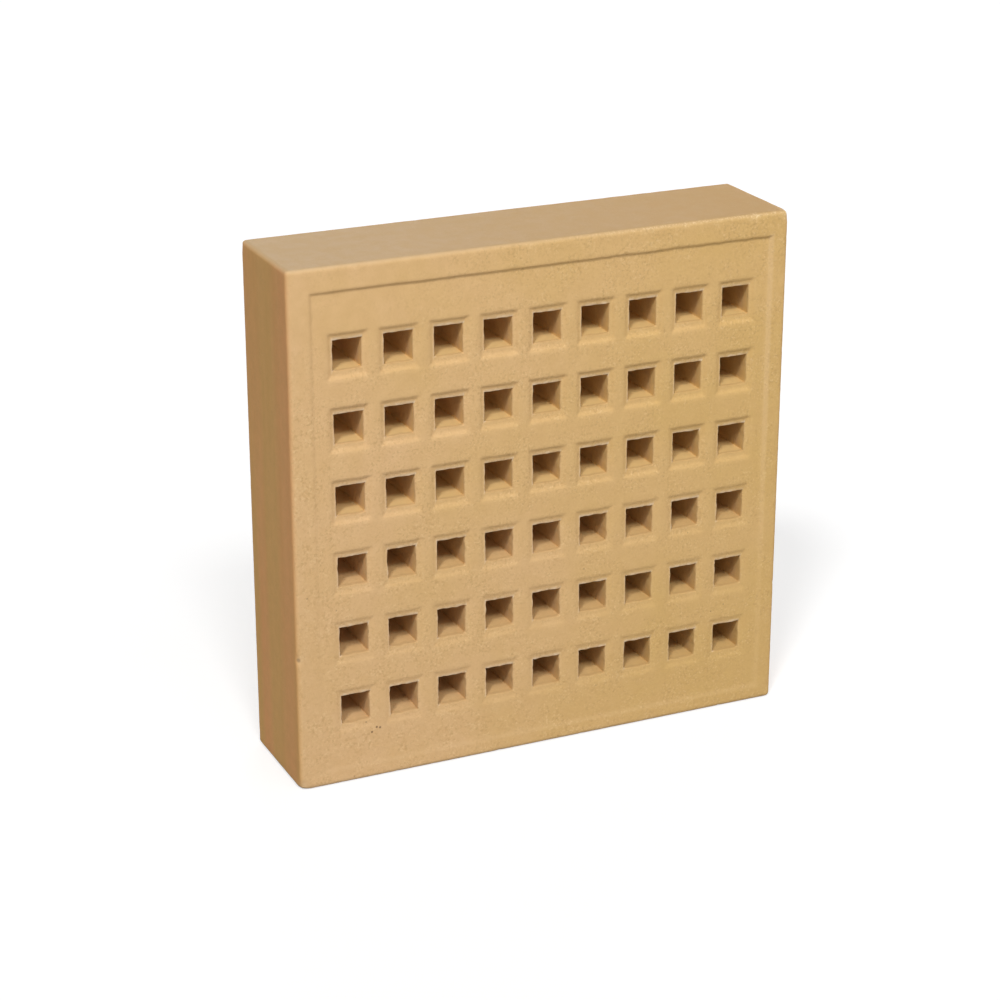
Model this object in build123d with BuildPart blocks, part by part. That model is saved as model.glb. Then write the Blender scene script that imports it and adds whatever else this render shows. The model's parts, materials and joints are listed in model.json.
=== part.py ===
"""Square-hole air brick, pressed from clay and fired as one piece.

The brick stands on its bottom bed. X runs along the wall, Y into it and Z up it.
The front face looks towards -Y. The origin is the middle of the bottom bed.
"""

from build123d import *
import os

# Overall size: one stretcher long and three courses high, without the mortar joints
brick_width = 215.0
brick_height = 215.0
brick_depth = 50.0
arris_radius = 2.0

# Pressed front: a raised border round a sunk panel with a bevelled step
border_width = 8.0
panel_depth = 1.0
step_slope = 45.0

# The press set its pattern a little right of and below the middle of the face
pattern_right = 1.0
pattern_down = 1.8

# Air holes, square and straight through, each in a dished surround
hole_columns = 9
hole_rows = 6
column_pitch = 21.0
row_pitch = 29.45
hole_size = 12.0

# The surround is wider above and below its hole than at the sides
surround_at_sides = 2.25
surround_above_and_below = 3.25
surround_depth = 1.1
surround_slope = 45.0

panel_width = brick_width - 2 * border_width
panel_height = brick_height - 2 * border_width
surround_width = hole_size + 2 * surround_at_sides
surround_height = hole_size + 2 * surround_above_and_below

# The middle of the pattern on the front face, with its normal out of the brick
front_face = Plane(
    origin=(pattern_right, -brick_depth / 2, brick_height / 2 - pattern_down),
    x_dir=(1, 0, 0),
    z_dir=(0, -1, 0),
)
panel_face = front_face.offset(-panel_depth)
surround_floor = panel_face.offset(-surround_depth)

with BuildPart() as air_brick:
    # Block of clay with every arris softened
    with BuildSketch(Plane.XY):
        Rectangle(brick_width, brick_depth)
    extrude(amount=brick_height)
    fillet(air_brick.edges(), radius=arris_radius)

    # Sunk panel
    with BuildSketch(front_face):
        Rectangle(panel_width, panel_height)
    extrude(amount=-panel_depth, taper=step_slope, mode=Mode.SUBTRACT)

    # Dished surround of each hole
    with BuildSketch(panel_face):
        with GridLocations(column_pitch, row_pitch, hole_columns, hole_rows):
            Rectangle(surround_width, surround_height)
    extrude(amount=-surround_depth, taper=surround_slope, mode=Mode.SUBTRACT)

    # Holes through to the back
    with BuildSketch(surround_floor):
        with GridLocations(column_pitch, row_pitch, hole_columns, hole_rows):
            Rectangle(hole_size, hole_size)
    extrude(amount=-brick_depth, mode=Mode.SUBTRACT)

air_brick.part.label = "air_brick"

os.makedirs("parts", exist_ok=True)
export_step(air_brick.part, "parts/air_brick.step")
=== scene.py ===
import json
import math
from typing import NamedTuple

import bpy
import numpy as np
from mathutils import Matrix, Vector, noise


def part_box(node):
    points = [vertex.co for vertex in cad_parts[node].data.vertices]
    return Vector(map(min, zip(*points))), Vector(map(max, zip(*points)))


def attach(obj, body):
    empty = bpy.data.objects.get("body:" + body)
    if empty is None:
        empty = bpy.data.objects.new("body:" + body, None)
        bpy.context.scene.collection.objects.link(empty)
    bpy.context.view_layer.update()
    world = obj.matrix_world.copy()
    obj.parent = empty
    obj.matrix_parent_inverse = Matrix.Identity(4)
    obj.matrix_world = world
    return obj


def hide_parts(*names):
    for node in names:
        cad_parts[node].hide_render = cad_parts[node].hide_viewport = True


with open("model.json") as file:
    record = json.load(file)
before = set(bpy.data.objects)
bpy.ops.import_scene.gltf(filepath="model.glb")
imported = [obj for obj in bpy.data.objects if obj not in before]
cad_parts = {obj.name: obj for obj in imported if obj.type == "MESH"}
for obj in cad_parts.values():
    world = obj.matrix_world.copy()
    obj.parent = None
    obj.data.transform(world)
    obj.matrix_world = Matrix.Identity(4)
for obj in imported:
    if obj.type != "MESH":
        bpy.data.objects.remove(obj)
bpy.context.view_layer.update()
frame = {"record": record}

MM = 0.001
NODE = "air_brick"
LOW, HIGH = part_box(NODE)

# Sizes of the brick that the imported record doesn't hold, the same as the solid's
ARRIS_RADIUS = 2.0 * MM
BORDER_WIDTH = 8.0 * MM
PANEL_DEPTH = 1.0 * MM
HOLE_SIZE = 12.0 * MM
SURROUND_AT_SIDES = 2.25 * MM
SURROUND_ABOVE_AND_BELOW = 3.25 * MM
SURROUND_DEPTH = 1.1 * MM
COLUMNS = 9
ROWS = 6

# Softened edges of the fired clay
LIP_RADIUS = 0.5 * MM
DISH_SOFTNESS = 0.55 * MM
DISH_TOP_WORN = 0.35 * MM

# The step round the panel, at its top, left, right and bottom: how much of its depth it kept at the start
# and end of each side, from the left or the top, and how far its slope has spread
STEP_KEPT = ((1.0, 0.95), (0.6, 0.0), (1.0, 0.3), (0.1, 0.25))
STEP_SPREAD = (0.2 * MM, 0.4 * MM, 0.5 * MM, 1.2 * MM)

# Nearest that a point counts as being to a side of the panel, where the depth drifts between the sides
STEP_NEAREST = 4.0 * MM

# How much of the full dish each row kept at its top and at its bottom, from the top row down
DISH_KEPT = (0.92, 0.92, 0.86, 0.66, 0.54, 0.47)
DISH_KEPT_BELOW = (0.8, 0.8, 0.7, 0.45, 0.35, 0.32)


def stated_hole(row, column):
    """Centre of a hole that the record states as an opening, on the front face as x and z."""
    for opening in frame["record"]["physics"]["openings"]:
        if opening["name"] == f"air_hole_row_{row}_column_{column}":
            low, high = opening["box_m"]
            return (low[0] + high[0]) / 2, (low[2] + high[2]) / 2
    raise ValueError(f"no opening is stated at row {row}, column {column}")


FIRST_X, FIRST_Z = stated_hole(1, 1)
LAST_X, LAST_Z = stated_hole(ROWS, COLUMNS)
HOLE_X = np.array([FIRST_X + (LAST_X - FIRST_X) * c / (COLUMNS - 1) for c in range(COLUMNS)])
HOLE_Z = np.array([FIRST_Z + (LAST_Z - FIRST_Z) * r / (ROWS - 1) for r in range(ROWS)])
HOLE_HALF = HOLE_SIZE / 2
PATTERN_X = (FIRST_X + LAST_X) / 2
PATTERN_Z = (FIRST_Z + LAST_Z) / 2
PANEL_HALF_X = (HIGH.x - LOW.x) / 2 - BORDER_WIDTH
PANEL_HALF_Z = (HIGH.z - LOW.z) / 2 - BORDER_WIDTH


# Lines that the front and the back are divided by

# How far in from an arris its round has turned by 45, 30, 15 and 0 degrees from the face
ARRIS_INSETS = [ARRIS_RADIUS * (1 - math.tan(math.radians(turn))) for turn in (45, 30, 15, 0)]

# Lines inward from the panel's edge, outward from a hole, and inward from the edges of a hole's dish
STEP_LINES = (-1.0 * MM, -0.25 * MM, 0.2 * MM, 0.65 * MM, 1.15 * MM, 1.9 * MM)
LIP_LINES = (0.45 * MM, 0.12 * MM)
DISH_SIDE_LINES = (-0.45 * MM, 0.2 * MM, 0.9 * MM, 1.55 * MM)
DISH_END_LINES = (-0.45 * MM, 0.1 * MM, 0.65 * MM, 1.2 * MM, 1.8 * MM)
FINE_CELLS_ACROSS_HOLE = 10
COARSE_CELLS_ACROSS_HOLE = 4

# Cells between those lines, and the part of a cell by which a gap may be too wide before it gets one more
FACE_CELL = 1.25 * MM
BACK_CELL = 3.2 * MM
CELL_SLACK = 0.15


def fill_between(stops, cell):
    """The stops in order, with equal cells of about the given size between them."""
    stops = sorted(stops)
    lines = []
    for start, end in zip(stops, stops[1:]):
        count = max(1, math.ceil((end - start) / cell - CELL_SLACK))
        lines += [start + (end - start) * k / count for k in range(count)]
    return lines + [stops[-1]]


def arris_stops(low, high):
    """Stops on the rounds at both ends of a face."""
    return [low + d for d in ARRIS_INSETS] + [high - d for d in ARRIS_INSETS]


def hole_stops(centres, surround, dish_lines, cells):
    """Stops across each hole, its lip and its dish."""
    stops = []
    for centre in centres:
        low, high = centre - HOLE_HALF, centre + HOLE_HALF
        stops += [low + HOLE_SIZE * k / cells for k in range(cells + 1)]
        stops += [low - d for d in LIP_LINES] + [high + d for d in LIP_LINES]
        stops += [low - surround + d for d in dish_lines]
        stops += [high + surround - d for d in dish_lines]
    return stops


def front_lines(low, high, pattern, panel_half, centres, surround, dish_lines):
    """Lines across the front in one direction, closer at the edges of the pattern."""
    stops = arris_stops(low, high)
    stops += hole_stops(centres, surround, dish_lines, FINE_CELLS_ACROSS_HOLE)
    stops += [pattern - panel_half + d for d in STEP_LINES]
    stops += [pattern + panel_half - d for d in STEP_LINES]
    return np.array(fill_between(stops, FACE_CELL))


def back_lines(low, high, centres):
    """Lines across the plain back in one direction."""
    stops = arris_stops(low, high)
    stops += hole_stops(centres, 0, (), COARSE_CELLS_ACROSS_HOLE)
    return np.array(fill_between(stops, BACK_CELL))


# The brick's closed surface on its plain box

# Sides, from the front: fine cells as far as this, and coarse ones from a little further on
SIDE_FINE_END = 6.0 * MM
SIDE_FINE_CELL = 1.4 * MM
SIDE_JOIN = 1.5 * MM

# Walls of a hole, by depth behind its lip: fine cells near the front, and coarse ones to the back
HOLE_FINE_DEPTHS = [0.6 * MM, 1.4 * MM, 2.8 * MM, 4.8 * MM, 7.6 * MM, 11.0 * MM]
HOLE_COARSE_DEPTHS = [14.0 * MM, 20.0 * MM, 28.0 * MM, 36.0 * MM, 42.0 * MM]
BACK_LIP_DEPTH = 0.6 * MM


class Skin:
    """Points and faces of the brick's closed surface."""

    def __init__(self):
        self.points = []
        self.faces = []

    def add(self, x, y, z):
        self.points.append((x, y, z))
        return len(self.points) - 1

    def face(self, *corners):
        self.faces.append(corners)

    def band(self, outer, inner):
        """Quads between two closed loops of as many points."""
        count = len(outer)
        for k in range(count):
            after = (k + 1) % count
            self.face(outer[k], outer[after], inner[after], inner[k])

    def bands(self, rings, outward):
        """Quads from each ring to the next one back, facing out of the rings or into them."""
        for ring, after in zip(rings, rings[1:]):
            if outward:
                self.band(after, ring)
            else:
                self.band(ring, after)

    def zip_loops(self, outer, inner, outer_at, inner_at):
        """Triangles between two closed loops, by how far round each point is, from 0 to 1."""
        i, j = 0, 0
        while i < len(outer) or j < len(inner):
            next_outer = outer_at[i + 1] if i < len(outer) else 2
            next_inner = inner_at[j + 1] if j < len(inner) else 2
            a, b = outer[i % len(outer)], inner[j % len(inner)]
            if next_outer <= next_inner:
                i += 1
                self.face(a, outer[i % len(outer)], b)
            else:
                j += 1
                self.face(a, inner[j % len(inner)], b)


def places_round(rectangle):
    """Grid places round a rectangle of lines, starting at its low corner and going along x."""
    i0, i1, k0, k1 = rectangle
    places = [(i, k0) for i in range(i0, i1)]
    places += [(i1, k) for k in range(k0, k1)]
    places += [(i, k1) for i in range(i1, i0, -1)]
    return places + [(i0, k) for k in range(k1, k0, -1)]


def line_at(lines, place):
    """Number of the line nearest to a place."""
    return int(np.argmin(abs(lines - place)))


class FaceGrid:
    """The front or the back as a grid of points, with the holes left out.

    A rectangle on it is the numbers of its first and last line in x, and then in z.
    """

    def __init__(self, skin, lines_x, lines_z, y, flip):
        self.skin = skin
        self.lines_x = lines_x
        self.lines_z = lines_z
        self.outline = (0, len(lines_x) - 1, 0, len(lines_z) - 1)
        self.holes = self.find_holes()
        self.grid = self.add_points(y)
        self.add_faces(flip)

    def find_holes(self):
        """Rectangle of each hole, by row and column."""
        found = {}
        for row, z in enumerate(HOLE_Z):
            for column, x in enumerate(HOLE_X):
                across = [line_at(self.lines_x, x + side) for side in (-HOLE_HALF, HOLE_HALF)]
                up = [line_at(self.lines_z, z + side) for side in (-HOLE_HALF, HOLE_HALF)]
                found[row, column] = (*across, *up)
        return found

    def add_points(self, y):
        """Point numbers by grid place, with -1 inside the holes."""
        inside = np.zeros((len(self.lines_x), len(self.lines_z)), bool)
        for i0, i1, k0, k1 in self.holes.values():
            inside[i0 + 1:i1, k0 + 1:k1] = True
        grid = np.full(inside.shape, -1)
        for i, k in np.argwhere(~inside):
            grid[i, k] = self.skin.add(self.lines_x[i], y, self.lines_z[k])
        return grid

    def add_faces(self, flip):
        grid = self.grid
        empty = np.zeros((len(self.lines_x) - 1, len(self.lines_z) - 1), bool)
        for i0, i1, k0, k1 in self.holes.values():
            empty[i0:i1, k0:k1] = True
        for i, k in np.argwhere(~empty):
            corners = (grid[i, k], grid[i + 1, k], grid[i + 1, k + 1], grid[i, k + 1])
            self.skin.face(*(reversed(corners) if flip else corners))

    def all_points(self):
        return self.grid[self.grid >= 0]

    def edge(self, rectangle):
        """The face's own points round a rectangle."""
        return [self.grid[place] for place in places_round(rectangle)]

    def rings(self, rectangle, at_y):
        """New rings of points in line with a rectangle's edge, one at each y."""
        places = places_round(rectangle)
        return [[self.skin.add(self.lines_x[i], y, self.lines_z[k]) for i, k in places] for y in at_y]

    def way_round(self, rectangle):
        """How far round a rectangle each of its points is, with a quarter to each side, and 1 at the end."""
        i0, i1, k0, k1 = rectangle
        x = self.lines_x[i0:i1 + 1]
        z = self.lines_z[k0:k1 + 1]
        across = (x - x[0]) / (x[-1] - x[0])
        up = (z - z[0]) / (z[-1] - z[0])
        sides = (across[:-1], 1 + up[:-1], 3 - across[:0:-1], 4 - up[:0:-1], [4.0])
        return list(np.concatenate(sides) / 4)


def add_sides(skin, front, back):
    """The ends and beds of the brick, between the outlines of its front and its back."""
    fine_end = LOW.y + SIDE_FINE_END
    fine_y = fill_between([LOW.y + d for d in ARRIS_INSETS] + [fine_end], SIDE_FINE_CELL)
    coarse_y = fill_between([fine_end + SIDE_JOIN] + [HIGH.y - d for d in ARRIS_INSETS], BACK_CELL)
    fine = [front.edge(front.outline)] + front.rings(front.outline, fine_y[1:])
    coarse = back.rings(back.outline, coarse_y[:-1]) + [back.edge(back.outline)]
    skin.bands(fine, outward=True)
    skin.zip_loops(coarse[0], fine[-1], back.way_round(back.outline), front.way_round(front.outline))
    skin.bands(coarse, outward=True)


def add_hole(skin, front, back, place):
    """The walls of one hole, and how deep each of their points lies behind its lip."""
    on_front, on_back = front.holes[place], back.holes[place]
    lip = LOW.y + PANEL_DEPTH + SURROUND_DEPTH * DISH_KEPT[place[0]] + LIP_RADIUS
    coarse_depths = HOLE_COARSE_DEPTHS + [HIGH.y - BACK_LIP_DEPTH - LIP_RADIUS - lip]
    fine = front.rings(on_front, [lip + d for d in HOLE_FINE_DEPTHS])
    coarse = back.rings(on_back, [lip + d for d in coarse_depths])
    skin.bands([front.edge(on_front)] + fine, outward=False)
    skin.zip_loops(fine[-1], coarse[0], front.way_round(on_front), back.way_round(on_back))
    skin.bands(coarse + [back.edge(on_back)], outward=False)
    return [d for ring, d in zip(fine + coarse, HOLE_FINE_DEPTHS + coarse_depths) for _ in ring]


class Lattice(NamedTuple):
    """The surface on its plain box, which of its points are where, and how deep those in the holes lie."""
    points: np.ndarray
    faces: list
    front: np.ndarray
    back: np.ndarray
    outside: slice
    walls: slice
    depth: np.ndarray


def build_lattice():
    """The lattice of the whole brick, before the arrises and the relief."""
    skin = Skin()
    front_x = front_lines(LOW.x, HIGH.x, PATTERN_X, PANEL_HALF_X, HOLE_X,
                          SURROUND_AT_SIDES, DISH_SIDE_LINES)
    front_z = front_lines(LOW.z, HIGH.z, PATTERN_Z, PANEL_HALF_Z, HOLE_Z,
                          SURROUND_ABOVE_AND_BELOW, DISH_END_LINES)
    back_x = back_lines(LOW.x, HIGH.x, HOLE_X)
    back_z = back_lines(LOW.z, HIGH.z, HOLE_Z)
    front = FaceGrid(skin, front_x, front_z, LOW.y, flip=False)
    back = FaceGrid(skin, back_x, back_z, HIGH.y, flip=True)
    add_sides(skin, front, back)
    side_end = len(skin.points)
    depth = []
    for place in front.holes:
        depth += add_hole(skin, front, back, place)
    return Lattice(np.array(skin.points), skin.faces, front.all_points(), back.all_points(),
                   slice(side_end), slice(side_end, None), np.array(depth))


# Relief

FACE_SWELL = 0.22 * MM
GRAIN_DEPTH = 0.05 * MM
CHIP_REACH = 4.0 * MM
CHIP_DEPTH = 0.9 * MM

# Noise of the relief, as layers of feature size, seed and height
SWELL_LAYER = (38.0 * MM, 1, 0.5)
GRAIN_LAYER = (2.6 * MM, 2, 1.0)
STEP_LAYER = (16.0 * MM, 3, 0.2 * MM)
ROUGH_LAYER = (2.2 * MM, 4, 0.22 * MM)
LIP_LAYERS_X = ((3.1 * MM, 11, 1.0), (1.5 * MM, 12, 0.6))
LIP_LAYERS_Z = ((3.1 * MM, 13, 1.0), (1.5 * MM, 14, 0.6))
CHIP_LAYERS = ((7.0 * MM, 21, 0.6), (2.8 * MM, 22, 0.5))
SEED_SHIFT = (7.31, 3.17, 5.53)

# The step's edge is least rough at the left, and roughens between these places in x. The dishes' edges
# follow its wander in part
STEP_ROUGH_LEFT = 0.2
STEP_ROUGHENS = (-20.0 * MM, 70.0 * MM)
DISH_WANDER = 0.5

# Ragged lips: their shift in the top and the bottom row, how far it reaches round the hole and into it,
# how much of it is lost at that depth, and how near a wall's plane a point is shifted
LIP_WANDER = 0.22 * MM
LIP_WANDER_LOW_ROWS = 0.34 * MM
LIP_WANDER_REACH = 1.2 * MM
LIP_WANDER_DEPTH = 6.0 * MM
LIP_WANDER_LOST = 0.6
LIP_WANDER_BAND = 0.8 * MM

# Noise above this leaves a chip, and the top arris chips more easily towards the right of the front
CHIP_START = 0.28
CHIP_MORE = 0.22
CHIP_MORE_X = (0.0, 60.0 * MM)
CHIP_MORE_Y = (LOW.y + 5.0 * MM, LOW.y + 15.0 * MM)
CHIP_MORE_Z = (HIGH.z - 25.0 * MM, HIGH.z - 1.0 * MM)

# Knocks on the arrises of the front: middle, how far each reaches and how deep it goes. One has an iron spot
KNOCK_WITH_SPOT_Z = LOW.z + 57.0 * MM
KNOCKS = (
    ((LOW.x, LOW.y, LOW.z + 1.0 * MM), 4.0 * MM, 0.7 * MM),
    ((HIGH.x, LOW.y, HIGH.z - 1.0 * MM), 4.0 * MM, 0.35 * MM),
    ((LOW.x, LOW.y, KNOCK_WITH_SPOT_Z), 2.4 * MM, 0.5 * MM),
    ((HIGH.x - 15.5 * MM, LOW.y, HIGH.z), 3.0 * MM, 0.4 * MM),
    ((HIGH.x - 46.5 * MM, LOW.y, HIGH.z), 2.4 * MM, 0.3 * MM),
)


def noise_at(points, *layers):
    """Smooth noise at each point, with its layers added up."""
    total = np.zeros(len(points))
    for size, seed, height in layers:
        shift = Vector([seed * step for step in SEED_SHIFT])
        total += height * np.array([noise.noise(Vector(p) / size + shift) for p in points])
    return total


def ease(value, low, high):
    """0 below the low value and 1 above the high one, with a soft rise between them."""
    t = np.clip((value - low) / (high - low), 0, 1)
    return t * t * (3 - 2 * t)


def between(start, end, share):
    return start + (end - start) * share


def round_arrises(points):
    """Points of the plain box moved onto the box with rounded arrises, and their outward normals."""
    low = np.array(LOW) + ARRIS_RADIUS
    high = np.array(HIGH) - ARRIS_RADIUS
    middle = np.clip(points, low, high)
    normals = points - middle
    normals /= np.linalg.norm(normals, axis=1)[:, None]
    return middle + ARRIS_RADIUS * normals, normals


def distance_to_arris(points):
    """How far each point of the outside is from the nearest arris."""
    reach = np.minimum(points - np.array(LOW), np.array(HIGH) - points)
    return np.sort(reach, axis=1)[:, 1]


def nearest_hole(x, z):
    """Row of the hole nearest to each point, and the point's place from that hole's centre."""
    column = np.clip(np.rint((x - HOLE_X[0]) / (HOLE_X[1] - HOLE_X[0])), 0, COLUMNS - 1).astype(int)
    row = np.clip(np.rint((z - HOLE_Z[0]) / (HOLE_Z[1] - HOLE_Z[0])), 0, ROWS - 1).astype(int)
    return row, x - HOLE_X[column], z - HOLE_Z[row]


def inside_panel(x, z):
    """How far each point lies inside the top, left, right and bottom of the panel."""
    return (
        PATTERN_Z + PANEL_HALF_Z - z,
        x - PATTERN_X + PANEL_HALF_X,
        PATTERN_X + PANEL_HALF_X - x,
        z - PATTERN_Z + PANEL_HALF_Z,
    )


def panel_drop(x, z, wander):
    """How far the sunk panel lies behind the border."""
    sides = inside_panel(x, z)
    sunk = np.ones(len(x))
    for inside, spread in zip(sides, STEP_SPREAD):
        sunk = np.minimum(sunk, ease(inside + wander, -spread, PANEL_DEPTH + spread))

    # The depth drifts over the panel between what the four sides kept
    across = np.clip((x - PATTERN_X) / (2 * PANEL_HALF_X) + 0.5, 0, 1)
    down = np.clip((PATTERN_Z - z) / (2 * PANEL_HALF_Z) + 0.5, 0, 1)
    kept = 0
    weights = 0
    for inside, (start, end), along in zip(sides, STEP_KEPT, (across, down, down, across)):
        weight = 1 / np.maximum(inside, STEP_NEAREST)
        kept += weight * between(start, end, along)
        weights += weight
    return PANEL_DEPTH * kept / weights * sunk


def dish_drop(x, z, wander):
    """How far the dished surround of the nearest hole lies behind the panel."""
    row, dx, dz = nearest_hole(x, z)
    above = np.clip(dz / HOLE_SIZE + 0.5, 0, 1)
    kept = above * np.array(DISH_KEPT)[row] + (1 - above) * np.array(DISH_KEPT_BELOW)[row]
    sides = HOLE_HALF + SURROUND_AT_SIDES - abs(dx)
    ends = HOLE_HALF + SURROUND_ABOVE_AND_BELOW - abs(dz) - np.where(dz > 0, DISH_TOP_WORN, 0)
    inside = np.minimum(sides, ends) + wander
    return SURROUND_DEPTH * kept * ease(inside, -DISH_SOFTNESS, SURROUND_DEPTH + DISH_SOFTNESS)


def lip_drop(x, z):
    """How far the rounded lip of the nearest hole lies behind its dish."""
    _, dx, dz = nearest_hole(x, z)
    outside = np.maximum(abs(dx), abs(dz)) - HOLE_HALF
    short = np.clip((LIP_RADIUS - outside) / LIP_RADIUS, 0, 1)
    return LIP_RADIUS * (1 - np.sqrt(1 - short ** 2))


def lip_shift(points, depth):
    """Ragged sideways shift of points round a hole's mouth, or on its walls at a depth."""
    row, dx, dz = nearest_hole(points[:, 0], points[:, 2])
    amount = between(LIP_WANDER, LIP_WANDER_LOW_ROWS, ease(row, 1, ROWS - 1))
    outside = np.maximum(abs(dx), abs(dz)) - HOLE_HALF
    amount *= 1 - ease(outside, 0, LIP_WANDER_REACH)
    amount *= 1 - LIP_WANDER_LOST * ease(depth, 0, LIP_WANDER_DEPTH)
    shift = np.zeros(points.shape)
    for axis, away, layers in ((0, dx, LIP_LAYERS_X), (2, dz, LIP_LAYERS_Z)):
        at_wall = ease(abs(away), HOLE_HALF - LIP_WANDER_BAND, HOLE_HALF)
        shift[:, axis] = amount * at_wall * noise_at(points, *layers)
    return shift


def wear_depth(points):
    """How far chips and knocks have taken the arrises back."""
    x, y, z = points.T
    chips = noise_at(points, *CHIP_LAYERS)
    near = 1 - ease(distance_to_arris(points), 0, CHIP_REACH)
    more = CHIP_MORE * ease(x, *CHIP_MORE_X) * ease(z, *CHIP_MORE_Z) * (1 - ease(y, *CHIP_MORE_Y))
    worn = CHIP_DEPTH * near * np.clip(chips - CHIP_START + more, 0, 1)
    for middle, reach, depth in KNOCKS:
        away = np.linalg.norm(points - np.array(middle), axis=1)
        worn = np.maximum(worn, depth * np.clip(1 - (away / reach) ** 2, 0, 1))
    return worn


def pressed(points):
    """How far the pressed pattern and the ragged lips move each point of the front."""
    x, z = points[:, 0], points[:, 2]
    wander = noise_at(points, STEP_LAYER)
    rough = noise_at(points, ROUGH_LAYER)
    rough_step = rough * between(STEP_ROUGH_LEFT, 1, ease(x, *STEP_ROUGHENS))
    shift = lip_shift(points, 0)
    shift[:, 1] = panel_drop(x, z, wander + rough_step)
    shift[:, 1] += dish_drop(x, z, DISH_WANDER * wander + rough) + lip_drop(x, z)
    return shift


def shape(lattice):
    """Places of the lattice's points on the real brick, and the normals and the wear of its outside."""
    flat = lattice.points[lattice.outside]
    placed, normals = round_arrises(flat)
    swell = FACE_SWELL * (0.5 + noise_at(flat, SWELL_LAYER))
    grain = GRAIN_DEPTH * (1 + noise_at(flat, GRAIN_LAYER))
    worn = wear_depth(flat)
    away = np.clip(distance_to_arris(flat) / (2 * ARRIS_RADIUS), 0, 1)
    placed -= normals * (swell * away + grain + worn)[:, None]
    placed[lattice.front] += pressed(flat[lattice.front])
    points = lattice.points.copy()
    points[lattice.outside] = placed

    # The walls of a hole follow the shift of its mouth
    mouth = lattice.points[lattice.walls].copy()
    mouth[:, 1] = LOW.y
    points[lattice.walls] += lip_shift(mouth, lattice.depth)
    return points, normals, worn


# Wear, dust, sand and painted light and shade that the clay's colours read at each point

# Chips this deep are fully worn. The arrises are paled up to the first distance and fade out to the second,
# partly as real rubbing and partly as a painted highlight, and the upright ones, where a normal's z is no
# more than the last value, are paled less
WORN_FULLY = 0.5 * MM
ARRIS_PALE_WITHIN = (0.3 * MM, 1.8 * MM)
ARRIS_PALE = 0.6
UPRIGHT_ARRIS_PALE = 0.3
FACES_UP_OR_DOWN = 0.1

# The slope of the panel's step, by the distance inside the panel's edge, and how far past a corner it goes
STEP_STARTS = (-1.2 * MM, 0.2 * MM)
STEP_ENDS = (0.8 * MM, 2.4 * MM)
STEP_CORNER = 1.5 * MM

# The step is paled at its right, more from the first height to the second, and a little at its bottom,
# partly as real rubbing and partly as a painted highlight where it faces the light
STEP_PALE_LOW_RIGHT = 0.25
STEP_PALE_RISE = (50.0 * MM, 160.0 * MM)
STEP_PALE_BOTTOM = 0.35

# Pale lips, a painted highlight, palest above the holes, and paler at the left of a hole than at its right
LIP_WITHIN = (0.1 * MM, 0.9 * MM)
LIP_LEFT = 0.5
LIP_RIGHT = 0.05

# The walls of the holes, by depth: how deep their lips with a painted highlight, their pale dust with
# painted light and their bands of painted shade go, and how near its plane a point counts as being on a wall
LIP_DEEP = 1.5 * MM
LIP_ON_WALLS = 0.4
WALL_EDGE = 0.5 * MM
RIGHT_WALL_DUST_AND_LIGHT = 0.6
RIGHT_WALL_DUST_AND_LIGHT_DEEP = 5.0 * MM
RIGHT_WALL_DARKENS = (1.5 * MM, 5.0 * MM)
RIGHT_WALL_CLEARS = (8.0 * MM, 15.0 * MM)
HOLLOW_MOST = 0.4
HOLLOW_DEEP = 30.0 * MM

# How much pale dust and painted light lies on the floors of the holes in each row, from the top row down
LEDGE_KEPT = (0.65, 0.65, 0.6, 0.2, 0.15, 0.15)

# How sandy each face is, with less sand at the top left of the front
SAND_ON_SIDES = 0.25
SAND_ON_BACK = 0.5
SAND_IN_HOLES = 0.6
SAND_LOST = 0.7
SAND_LOST_UP = (150.0 * MM, 200.0 * MM)
SAND_LOST_ACROSS = (-80.0 * MM, 20.0 * MM)


def fading(value, end):
    """1 at 0, falling evenly to 0 at the end."""
    return 1 - np.minimum(1, value / end)


def arris_paleness(points, normals, worn):
    """Paleness of the arrises, from chips and from rubbing, and partly a painted highlight."""
    near = 1 - ease(distance_to_arris(points), *ARRIS_PALE_WITHIN)
    pale_edges = np.where(abs(normals[:, 2]) > FACES_UP_OR_DOWN, ARRIS_PALE, UPRIGHT_ARRIS_PALE)
    return np.maximum(np.clip(worn / WORN_FULLY, 0, 1), pale_edges * near)


def step_paleness(x, z):
    """Paleness of the panel's step, partly rubbing and partly a painted highlight where it faces the light.
    """
    sides = inside_panel(x, z)
    _, _, right, bottom = (ease(d, *STEP_STARTS) * (1 - ease(d, *STEP_ENDS)) for d in sides)
    right *= between(STEP_PALE_LOW_RIGHT, 1, ease(z, *STEP_PALE_RISE))
    inside = np.minimum.reduce(sides)
    return np.maximum(right, STEP_PALE_BOTTOM * bottom) * ease(inside, -STEP_CORNER, 0)


def lip_marks(x, z):
    """Painted highlight on the lips, and painted shade on the sills below the holes."""
    _, dx, dz = nearest_hole(x, z)
    edge = 1 - ease(np.maximum(abs(dx), abs(dz)) - HOLE_HALF, *LIP_WITHIN)
    above = dz > abs(dx)
    below = dz < -abs(dx)
    beside = np.where(dx < 0, LIP_LEFT, LIP_RIGHT)
    # Painted highlight above and beside the holes, and painted shade on the sills below them
    return edge * np.where(above, 1, np.where(below, 0, beside)), edge * below


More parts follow.
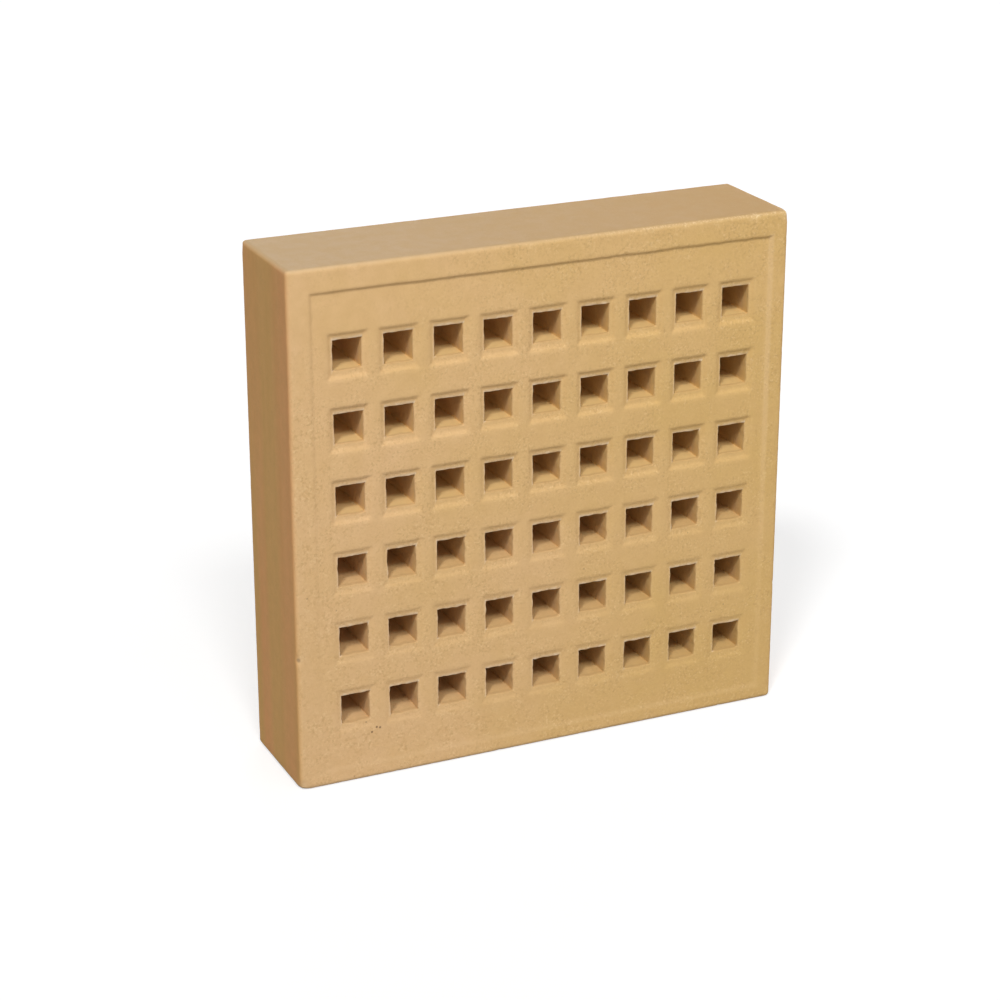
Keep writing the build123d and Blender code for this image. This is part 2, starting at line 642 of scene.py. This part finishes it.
def wall_marks(x, z, depth):
    """What the walls of the holes show: a painted highlight on the lips, painted shade on the sills, in the
    depths and in a band on the right walls, and pale dust with painted light near the front, most of all on
    their floors.
    """
    row, dx, dz = nearest_hole(x, z)
    floor = dz < WALL_EDGE - HOLE_HALF
    right = ~floor & (dx > HOLE_HALF - WALL_EDGE)
    near = fading(depth, LIP_DEEP)
    # Pale dust and painted light on the floors, and on the right walls near the front
    overlay = np.where(floor, 1, right * RIGHT_WALL_DUST_AND_LIGHT * fading(depth, RIGHT_WALL_DUST_AND_LIGHT_DEEP))
    # Painted shade in a band on the right walls, and painted shade that deepens into every hole
    right_wall_shade = right * ease(depth, *RIGHT_WALL_DARKENS) * (1 - ease(depth, *RIGHT_WALL_CLEARS))
    return {
        "lip": LIP_ON_WALLS * near * ~(floor | right),
        "sill_shade": near * floor,
        "hollow_shade": np.maximum(HOLLOW_MOST * np.minimum(1, depth / HOLLOW_DEEP), right_wall_shade),
        "ledge_dust_and_light": np.array(LEDGE_KEPT)[row] * overlay,
    }


def marks(lattice, points, normals, worn):
    """What the clay's colours read at each point, from 0 to 1."""
    front, outside, walls = lattice.front, lattice.outside, lattice.walls
    names = ("wear_and_highlight", "lip", "sill_shade", "hollow_shade", "ledge_dust_and_light", "end", "bed", "sand")
    read = {name: np.zeros(len(points)) for name in names}
    x, z = points[:, 0], points[:, 2]
    # Pale arrises and step: real wear, and a painted highlight where they face the light
    read["wear_and_highlight"][outside] = arris_paleness(points[outside], normals, worn)
    read["wear_and_highlight"][front] = np.maximum(read["wear_and_highlight"][front], step_paleness(x[front], z[front]))
    read["lip"][front], read["sill_shade"][front] = lip_marks(x[front], z[front])
    for name, values in wall_marks(x[walls], z[walls], lattice.depth).items():
        read[name][walls] = values

    # Ends and beds, by the way the outside faces before its relief
    read["end"][outside] = normals[:, 0] ** 2
    read["bed"][outside] = normals[:, 2] ** 2

    smooth = ease(z[front], *SAND_LOST_UP) * (1 - ease(x[front], *SAND_LOST_ACROSS))
    read["sand"][outside] = SAND_ON_SIDES
    read["sand"][front] = 1 - SAND_LOST * smooth
    read["sand"][lattice.back] = SAND_ON_BACK
    read["sand"][walls] = SAND_IN_HOLES
    return read


# Meshes

# Edges that turn by more than this are shaded sharp
SHARP_ANGLE = math.radians(58)


def new_mesh(name, points, faces):
    mesh = bpy.data.meshes.new(name)
    mesh.from_pydata([tuple(p) for p in points], [], faces)
    mesh.validate()
    mesh.update()
    piece = bpy.data.objects.new(name, mesh)
    bpy.context.scene.collection.objects.link(piece)
    return piece


def brick_piece():
    """The whole brick as one mesh, with its marks."""
    lattice = build_lattice()
    points, normals, worn = shape(lattice)
    piece = new_mesh("fired_clay_brick", points, lattice.faces)
    mesh = piece.data
    for name, values in marks(lattice, points, normals, worn).items():
        mesh.attributes.new(name, "FLOAT", "POINT").data.foreach_set("value", values)
    mesh.polygons.foreach_set("use_smooth", [True] * len(mesh.polygons))
    mesh.set_sharp_from_angle(angle=SHARP_ANGLE)
    return piece


# Colours

class Tint(NamedTuple):
    """A colour laid over the clay, and how strongly."""
    colour: tuple
    strength: float = 1.0


class Pattern(NamedTuple):
    """Noise of a feature size, whose values from low to high are spread from least to most."""
    size: float
    low: float
    high: float
    least: float = 0.0
    most: float = 1.0
    detail: float = 4.0
    roughness: float = 0.6


def linear(red, green, blue):
    """A colour given as 0 to 255 on a screen, as the renderer takes it."""
    def channel(value):
        value /= 255
        return value / 12.92 if value <= 0.04045 else ((value + 0.055) / 1.055) ** 2.4
    return (channel(red), channel(green), channel(blue), 1.0)


# Firing colour from left to right, with a broad drift, and its share of full brightness at the bottom, a
# painted shade that darkens the clay towards the bottom
CLAY_LEFT = linear(229, 189, 139)
CLAY_RIGHT = linear(218, 180, 115)
CLAY_DRIFT = Pattern(60 * MM, 0.3, 0.7, -0.3, 0.3)
CLAY_SHADED_LOW = 0.88

# Browner ends with upright bands and drag streaks, made by scaling the noise's x, y and z
END_RED = linear(228, 167, 110)
END_OLIVE = linear(220, 172, 106)
END_PALE = linear(232, 182, 122)
END_BANDS = Pattern(13 * MM, 0.32, 0.68, detail=0.0)
END_STREAKS = Pattern(4.5 * MM, 0.35, 0.65, 0.0, 0.25, detail=1.0)
END_STRETCH = (0.3, 1.0, 0.05)

# Dust on the beds, from left to right
DUST_LEFT = linear(199, 172, 136)
DUST_RIGHT = linear(196, 158, 108)
DUST_STRENGTH = 0.85

# Sandy mottling, with grit and pale grains in patches
MOTTLE = Tint(linear(200, 160, 106), 0.2)
GRIT = Tint(linear(180, 141, 88), 0.44)
GRAINS = Tint(linear(244, 214, 164), 0.3)
MOTTLE_PATTERN = Pattern(6 * MM, 0.35, 0.65, roughness=0.55)
SAND_PATCHES = Pattern(10 * MM, 0.4, 0.6, 0.25, 1.0, detail=3.0)
GRIT_PATTERN = Pattern(1.1 * MM, 0.5, 0.7, detail=2.0, roughness=0.5)
GRAIN_PATTERN = Pattern(0.9 * MM, 0.54, 0.7, detail=2.0, roughness=0.5)

# Rubbed edges, paler partly from wear and partly as a painted highlight, with bright grains along the top
# towards the right
WORN_AND_HIGHLIGHT = Tint(linear(238, 208, 166), 0.25)
SPARKS = Tint(linear(248, 226, 180))
SPARK_PATTERN = Pattern(0.8 * MM, 0.5, 0.62, detail=2.0)
SPARKS_ACROSS = (-10.0 * MM, 50.0 * MM, 0.0, 0.8)
SPARKS_UP = (HIGH.z - 7.0 * MM, HIGH.z - 3.0 * MM)

# Painted highlight on the lips, painted shade in the depths and on the sills, and pale dust with painted
# light on the floors of the holes
LIP_HIGHLIGHT = Tint(linear(248, 228, 200))
HOLLOW_SHADE = Tint(linear(146, 122, 110), 0.3)
LEDGE_DUST_AND_LIGHT = Tint(linear(236, 202, 136))
SILL_SHADE = Tint(linear(176, 140, 90), 0.4)
LIP_PATTERN = Pattern(3 * MM, 0.38, 0.58, 0.25, 0.85, detail=2.0)

# Iron specks, one in each noise cell that isn't left out: the share left out grows from the bottom up to a
# height, and a speck darkens towards its middle, by the distance in cells
IRON = Tint(linear(96, 70, 48), 0.75)
IRON_CELL = 6.0 * MM
IRON_LEFT_OUT = (LOW.z, LOW.z + 120.0 * MM, 0.72, 0.97)
IRON_DARKNESS = (0.03, 0.075, 0.6, 0.0)

# Specks that stand out: below the first hole of the bottom row, from its centre, and on the left arris
SPECKS_FROM_HOLE = (
    (4.2 * MM, -7.2 * MM),
    (8.6 * MM, -10.1 * MM),
    (10.0 * MM, -10.5 * MM),
    (6.5 * MM, -11.9 * MM),
)
SPECK_RADIUS = 0.62 * MM
SPECK_BEHIND_FRONT = 0.3 * MM
SPECK_ON_ARRIS = (LOW.x + 1.0 * MM, LOW.y + 1.0 * MM, KNOCK_WITH_SPOT_Z)
SPECK_ON_ARRIS_RADIUS = 1.1 * MM
SPECK_ON_ARRIS_STRENGTH = 0.8
SPECK_CORE = 0.4

# Surface: roughness from least to most mottled, and grain too fine for the mesh
ROUGHNESS = (0.82, 0.95)
SPECULAR = 0.25
BUMP_DEPTH = 0.35 * MM
BUMP_STRENGTH = 0.8
BUMP_COARSE_SHARE = 0.6
BUMP_FINE_SHARE = 0.4

# Noise of that grain, by feature size and detail
BUMP_COARSE = (1.8 * MM, 3.0)
BUMP_FINE = (0.6 * MM, 2.0)


class Nodes:
    """Short calls for the nodes of one material."""

    def __init__(self, name):
        self.material = bpy.data.materials.new(name)
        self.material.use_nodes = True
        self.tree = self.material.node_tree
        self.tree.nodes.clear()
        self.output = self.new("ShaderNodeOutputMaterial")

    def new(self, kind, **settings):
        node = self.tree.nodes.new(kind)
        for name, value in settings.items():
            setattr(node, name, value)
        return node

    def link(self, source, target):
        self.tree.links.new(source, target)

    def set(self, socket, value):
        if isinstance(value, bpy.types.NodeSocket):
            self.link(value, socket)
        else:
            socket.default_value = value

    def math(self, operation, first, second, clamp=False):
        node = self.new("ShaderNodeMath", operation=operation, use_clamp=clamp)
        self.set(node.inputs[0], first)
        self.set(node.inputs[1], second)
        return node.outputs[0]

    def product(self, first, *others):
        """The values multiplied together."""
        for other in others:
            first = self.math("MULTIPLY", first, other)
        return first

    def mix(self, factor, first, second, blend="MIX"):
        node = self.new("ShaderNodeMix", data_type="RGBA", blend_type=blend)
        self.set(node.inputs["Factor"], factor)
        self.set(node.inputs["A"], first)
        self.set(node.inputs["B"], second)
        return node.outputs["Result"]

    def over(self, colour, tint, *amounts):
        """The colour with a tint laid over it, by its strength and all the amounts."""
        return self.mix(self.product(*amounts, tint.strength), colour, tint.colour)

    def ramp(self, value, low, high, out_low=0.0, out_high=1.0):
        node = self.new("ShaderNodeMapRange", clamp=True)
        self.set(node.inputs["Value"], value)
        ends = {"From Min": low, "From Max": high, "To Min": out_low, "To Max": out_high}
        for name, number in ends.items():
            node.inputs[name].default_value = number
        return node.outputs["Result"]

    def noise(self, where, size, detail, roughness=0.6):
        node = self.new("ShaderNodeTexNoise")
        self.link(where, node.inputs["Vector"])
        node.inputs["Scale"].default_value = 1 / size
        node.inputs["Detail"].default_value = detail
        node.inputs["Roughness"].default_value = roughness
        return node.outputs["Fac"]

    def pattern(self, where, kind):
        """The values of a pattern at a place."""
        value = self.noise(where, kind.size, kind.detail, kind.roughness)
        return self.ramp(value, kind.low, kind.high, kind.least, kind.most)

    def mark(self, name):
        return self.new("ShaderNodeAttribute", attribute_name=name).outputs["Fac"]

    def split(self, where):
        """The x, y and z of a place."""
        node = self.new("ShaderNodeSeparateXYZ")
        self.link(where, node.inputs[0])
        return tuple(node.outputs)

    def stretched(self, where, scale):
        """The same place with each direction scaled, for noise in streaks."""
        node = self.new("ShaderNodeVectorMath", operation="MULTIPLY")
        self.link(where, node.inputs[0])
        node.inputs[1].default_value = scale
        return node.outputs["Vector"]

    def spot(self, where, centre, radius):
        """1 within the core of a small spot round a point, fading to 0 at its edge."""
        node = self.new("ShaderNodeVectorMath", operation="DISTANCE")
        self.link(where, node.inputs[0])
        node.inputs[1].default_value = centre
        return self.ramp(node.outputs["Value"], SPECK_CORE * radius, radius, 1.0, 0.0)


def firing_colour_shaded_low(clay, where, along, height):
    """Broad drift of the firing colour, pinker to the left and yellower to the right, darkened low down as
    painted shade.
    """
    drift = clay.math("ADD", along, clay.pattern(where, CLAY_DRIFT), clamp=True)
    colour = clay.mix(drift, CLAY_LEFT, CLAY_RIGHT)
    return clay.mix(1.0, colour, clay.ramp(height, 0, 1, CLAY_SHADED_LOW, 1.0), "MULTIPLY")


def end_colour(clay, where):
    """Upright bands and drag streaks of the two ends."""
    upright = clay.stretched(where, END_STRETCH)
    bands = clay.mix(clay.pattern(upright, END_BANDS), END_RED, END_OLIVE)
    return clay.mix(clay.pattern(upright, END_STREAKS), bands, END_PALE)


def scattered_iron(clay, where, z):
    """Small dark specks, thinly scattered."""
    cells = clay.new("ShaderNodeTexVoronoi")
    clay.link(where, cells.inputs["Vector"])
    cells.inputs["Scale"].default_value = 1 / IRON_CELL
    chance = clay.new("ShaderNodeSeparateColor")
    clay.link(cells.outputs["Color"], chance.inputs[0])
    chosen = clay.math("GREATER_THAN", chance.outputs[0], clay.ramp(z, *IRON_LEFT_OUT))
    return clay.product(chosen, clay.ramp(cells.outputs["Distance"], *IRON_DARKNESS))


def iron_specks(clay, where, z):
    """The scattered specks, and the ones that stand out."""
    specks = scattered_iron(clay, where, z)
    for across, up in SPECKS_FROM_HOLE:
        centre = (HOLE_X[0] + across, LOW.y + SPECK_BEHIND_FRONT, HOLE_Z[-1] + up)
        specks = clay.math("MAXIMUM", specks, clay.spot(where, centre, SPECK_RADIUS))
    on_arris = clay.spot(where, SPECK_ON_ARRIS, SPECK_ON_ARRIS_RADIUS)
    return clay.math("MAXIMUM", specks, clay.product(on_arris, SPECK_ON_ARRIS_STRENGTH))


def sanded(clay, colour, where):
    """The colour with grit and pale grains in patches."""
    sand = clay.product(clay.pattern(where, SAND_PATCHES), clay.mark("sand"))
    colour = clay.over(colour, GRIT, clay.pattern(where, GRIT_PATTERN), sand)
    return clay.over(colour, GRAINS, clay.pattern(where, GRAIN_PATTERN), sand)


def pale_edges(clay, colour, where, x, z):
    """The colour with pale edges, partly rubbed and partly a painted highlight, and their bright grains."""
    wear_and_highlight = clay.mark("wear_and_highlight")
    # Pale edges, partly real rubbing and partly a painted highlight
    colour = clay.over(colour, WORN_AND_HIGHLIGHT, wear_and_highlight)
    zone = clay.product(wear_and_highlight, clay.ramp(x, *SPARKS_ACROSS), clay.ramp(z, *SPARKS_UP))
    return clay.over(colour, SPARKS, zone, clay.pattern(where, SPARK_PATTERN))


def holes_marked(clay, colour, where):
    """The colour with the painted highlight on the lips, painted shade in the depths and on the sills, and
    pale dust with painted light on the floors of the holes.
    """
    # Painted highlight on the lips
    colour = clay.over(colour, LIP_HIGHLIGHT, clay.mark("lip"), clay.pattern(where, LIP_PATTERN))
    # Painted shade deep in the holes
    colour = clay.over(colour, HOLLOW_SHADE, clay.mark("hollow_shade"))
    # Pale dust and painted light on the floors
    colour = clay.over(colour, LEDGE_DUST_AND_LIGHT, clay.mark("ledge_dust_and_light"))
    # Painted shade on the sills below the holes
    return clay.over(colour, SILL_SHADE, clay.mark("sill_shade"))


def clay_colour(clay, where):
    """Colour of the fired clay, and its mottling."""
    x, _, z = clay.split(where)
    along = clay.ramp(x, LOW.x, HIGH.x)
    mottle = clay.pattern(where, MOTTLE_PATTERN)
    # Firing colour, darkened towards the bottom as painted shade
    colour = firing_colour_shaded_low(clay, where, along, clay.ramp(z, LOW.z, HIGH.z))
    colour = clay.mix(clay.mark("end"), colour, end_colour(clay, where))
    overlay = Tint(clay.mix(along, DUST_LEFT, DUST_RIGHT), DUST_STRENGTH)
    colour = clay.over(colour, overlay, clay.mark("bed"))
    colour = clay.over(colour, MOTTLE, mottle)
    colour = sanded(clay, colour, where)
    colour = clay.over(colour, IRON, iron_specks(clay, where, z))
    colour = pale_edges(clay, colour, where, x, z)
    return holes_marked(clay, colour, where), mottle


def clay_material():
    clay = Nodes("fired_clay")
    where = clay.new("ShaderNodeTexCoord").outputs["Object"]
    colour, mottle = clay_colour(clay, where)
    shader = clay.new("ShaderNodeBsdfPrincipled")
    clay.link(colour, shader.inputs["Base Color"])
    clay.link(clay.ramp(mottle, 0, 1, *ROUGHNESS), shader.inputs["Roughness"])
    shader.inputs["Specular IOR Level"].default_value = SPECULAR

    coarse = clay.product(clay.noise(where, *BUMP_COARSE), BUMP_COARSE_SHARE)
    fine = clay.product(clay.noise(where, *BUMP_FINE), BUMP_FINE_SHARE)
    bump = clay.new("ShaderNodeBump")
    bump.inputs["Distance"].default_value = BUMP_DEPTH
    clay.link(clay.product(clay.mark("sand"), BUMP_STRENGTH), bump.inputs["Strength"])
    clay.link(clay.math("ADD", coarse, fine), bump.inputs["Height"])
    clay.link(bump.outputs["Normal"], shader.inputs["Normal"])
    clay.link(shader.outputs[0], clay.output.inputs["Surface"])
    return clay.material


# Studio

FLOOR_HALF = 8.0
FLOOR_BOUNCE = linear(170, 168, 164)
FLOOR_SEEN = 0.55
WORLD_STRENGTH = 0.14
LAMP_DISTANCE = 2.0

# Lamps: name, direction towards it, strength and width in degrees
LAMPS = (
    ("key", (-0.85, -1.0, 1.5), 1.4, 9),
    ("front", (-0.2, -1.0, 1.05), 0.9, 10),
    ("soft", (-0.3, -1.0, 0.5), 0.4, 70),
    ("fill", (0.6, -1.0, 0.4), 0.7, 70),
    ("back", (0.6, 1.0, 0.03), 2.7, 40),
)

# Camera, fitted to the corners of the brick in the photograph
CAMERA_PLACE = (-0.425, -0.909, 0.484)
CAMERA_AZIMUTH = 24.6
CAMERA_ELEVATION = 21.0
CAMERA_LENS = 94.6
CAMERA_SENSOR = 36.0


def floor_material():
    """A pale floor that the camera sees as white, with the brick's shadow kept."""
    pale = Nodes("pale_floor")
    bounce = pale.new("ShaderNodeBsdfDiffuse")
    bounce.inputs["Color"].default_value = FLOOR_BOUNCE
    seen = pale.new("ShaderNodeBsdfDiffuse")
    seen.inputs["Color"].default_value = (FLOOR_SEEN, FLOOR_SEEN, FLOOR_SEEN, 1)
    glow = pale.new("ShaderNodeEmission")
    glow.inputs["Strength"].default_value = FLOOR_SEEN
    white = pale.new("ShaderNodeAddShader")
    pale.link(seen.outputs[0], white.inputs[0])
    pale.link(glow.outputs[0], white.inputs[1])
    choose = pale.new("ShaderNodeMixShader")
    pale.link(pale.new("ShaderNodeLightPath").outputs["Is Camera Ray"], choose.inputs[0])
    pale.link(bounce.outputs[0], choose.inputs[1])
    pale.link(white.outputs[0], choose.inputs[2])
    pale.link(choose.outputs[0], pale.output.inputs["Surface"])
    return pale.material


def add_floor():
    side = FLOOR_HALF
    corners = [(-side, -side, LOW.z), (side, -side, LOW.z), (side, side, LOW.z), (-side, side, LOW.z)]
    floor = new_mesh("studio_floor", corners, [(0, 1, 2, 3)])
    floor.data.materials.append(floor_material())


def add_sun(name, towards, strength, width):
    lamp = bpy.data.lights.new(name, "SUN")
    lamp.energy = strength
    lamp.angle = math.radians(width)
    holder = bpy.data.objects.new(name, lamp)
    holder.rotation_euler = Vector(towards).to_track_quat("Z", "Y").to_euler()
    holder.location = Vector(towards).normalized() * LAMP_DISTANCE
    bpy.context.scene.collection.objects.link(holder)


def add_world():
    """Weak even light all round, which the camera sees as white."""
    world = bpy.data.worlds.new("studio")
    bpy.context.scene.world = world
    world.use_nodes = True
    tree = world.node_tree
    tree.nodes.clear()
    output = tree.nodes.new("ShaderNodeOutputWorld")
    light = tree.nodes.new("ShaderNodeBackground")
    light.inputs["Color"].default_value = (1, 1, 1, 1)
    light.inputs["Strength"].default_value = WORLD_STRENGTH
    white = tree.nodes.new("ShaderNodeBackground")
    white.inputs["Color"].default_value = (1, 1, 1, 1)
    path = tree.nodes.new("ShaderNodeLightPath")
    choose = tree.nodes.new("ShaderNodeMixShader")
    tree.links.new(path.outputs["Is Camera Ray"], choose.inputs[0])
    tree.links.new(light.outputs[0], choose.inputs[1])
    tree.links.new(white.outputs[0], choose.inputs[2])
    tree.links.new(choose.outputs[0], output.inputs[0])


def add_camera():
    data = bpy.data.cameras.new("camera")
    data.lens = CAMERA_LENS
    data.sensor_width = CAMERA_SENSOR
    camera = bpy.data.objects.new("camera", data)
    camera.location = CAMERA_PLACE
    camera.rotation_euler = (math.radians(90 - CAMERA_ELEVATION), 0, math.radians(-CAMERA_AZIMUTH))
    bpy.context.scene.collection.objects.link(camera)
    bpy.context.scene.camera = camera


bpy.context.scene.view_settings.view_transform = "Standard"
add_camera()
add_world()
add_floor()
for lamp in LAMPS:
    add_sun(*lamp)

brick = brick_piece()
brick.data.materials.append(clay_material())
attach(brick, "root")
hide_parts(NODE)
